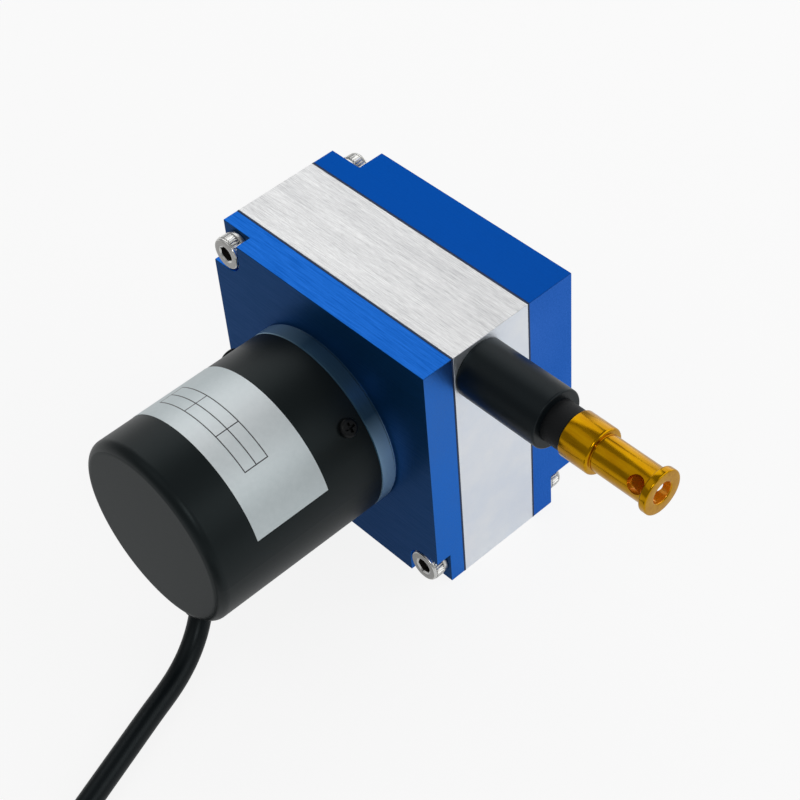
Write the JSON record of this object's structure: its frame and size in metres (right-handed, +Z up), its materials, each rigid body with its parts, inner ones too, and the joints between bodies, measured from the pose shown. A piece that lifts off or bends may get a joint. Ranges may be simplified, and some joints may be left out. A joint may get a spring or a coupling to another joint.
{
  "type": "draw wire encoder",
  "caption": "Draw wire position encoder: square blue and silver housing with a round black sensor can, a side wire outlet with a gold end terminal, and a coiled cable.",
  "frame": {"origin": "midway between the two mounting holes, in the flat bottom face that the unit stands on", "axes": "+Z up, +X the way the wire is drawn out, -Y towards the round can"},
  "size_m": [0.1295, 0.1711, 0.06],
  "materials": {
    "blue_anodised": "satin anodised, brushed edges",
    "brushed_aluminium": "brushed",
    "plain_aluminium": "machined",
    "gasket_fibre": "matt",
    "stainless_steel": "polished",
    "black_screw_steel": "black oxide",
    "black_can": "satin black",
    "black_guide": "satin",
    "ceramic": "glazed",
    "bearing_steel": "ground",
    "spring_steel": "blued",
    "brass": "turned",
    "potentiometer_body": "moulded",
    "circuit_board": "solder mask",
    "board_components": "moulded",
    "black_rubber": "matt",
    "gold_anodised": "bright anodised",
    "cable_jacket": "semi-gloss PVC",
    "tie_nylon": "moulded",
    "core_insulation": "PVC"
  },
  "bodies": {
    "housing": {"frame_block": "brushed_aluminium", "front_plate": "blue_anodised", "back_plate": "blue_anodised", "front_gasket": "gasket_fibre", "back_gasket": "gasket_fibre", "front_screws": "stainless_steel", "back_screws": "stainless_steel", "front_washers": "stainless_steel", "back_washers": "stainless_steel", "mount_ring": "blue_anodised", "can_cover": "black_can", "can_screws": "black_screw_steel", "wire_guide": "black_guide", "guide_bush": "ceramic", "cable_sleeve": "black_rubber", "cable": "cable_jacket", "cable_coil": "cable_jacket", "cable_tie": "tie_nylon", "cable_tail": "cable_jacket", "core_ends": "core_insulation", "front_bearing_outer": "bearing_steel", "front_bearing_balls": "bearing_steel", "rear_bearing_outer": "bearing_steel", "rear_bearing_balls": "bearing_steel", "power_spring": "spring_steel", "spring_pin": "stainless_steel", "spring_cover": "stainless_steel", "sensor_bracket": "plain_aluminium", "bracket_pillars": "brass", "bracket_screws": "stainless_steel", "potentiometer": "potentiometer_body", "pot_nut": "stainless_steel", "circuit_board": "circuit_board", "board_parts": "board_components", "board_pillars": "brass", "board_screws": "stainless_steel", "board_leads": "core_insulation", "ring_screws": "stainless_steel", "can_seal": "black_rubber"},
    "drum": {"drum": "plain_aluminium", "wound_wire": "stainless_steel", "drum_set_screw": "black_screw_steel", "spindle_shaft": "bearing_steel", "shaft_clip": "black_screw_steel", "front_bearing_inner": "bearing_steel", "rear_bearing_inner": "bearing_steel", "spring_arbor": "brass", "coupling": "plain_aluminium", "coupling_screws": "black_screw_steel", "pot_shaft": "stainless_steel"},
    "wire_end": {"draw_wire": "stainless_steel", "wire_ferrule": "stainless_steel", "wire_buffer": "black_rubber"},
    "terminal": {"wire_terminal": "gold_anodised"}
  },
  "joints": [
    {"name": "drum_spin", "type": "hinge", "parent": "housing", "child": "drum", "pos_m": [0, 0, 0.03], "axis": [0, 1, 0], "range_deg": [0, 3704], "stiffness_Nm_per_rad": 0.00108, "springref_deg": -3695.58},
    {"name": "wire_draw", "type": "slide", "parent": "housing", "child": "wire_end", "axis": [1, 0, 0], "range_m": [0, 1.5], "deforming": ["draw_wire"]},
    {"name": "terminal_swivel", "type": "hinge", "parent": "wire_end", "child": "terminal", "pos_m": [0.06, -0.0032, 0.0532], "axis": [1, 0, 0], "continuous": true}
  ],
  "couplings": [
    {"joint": "wire_draw", "follows": "drum_spin", "m_per_rad": 0.0232}
  ]
}
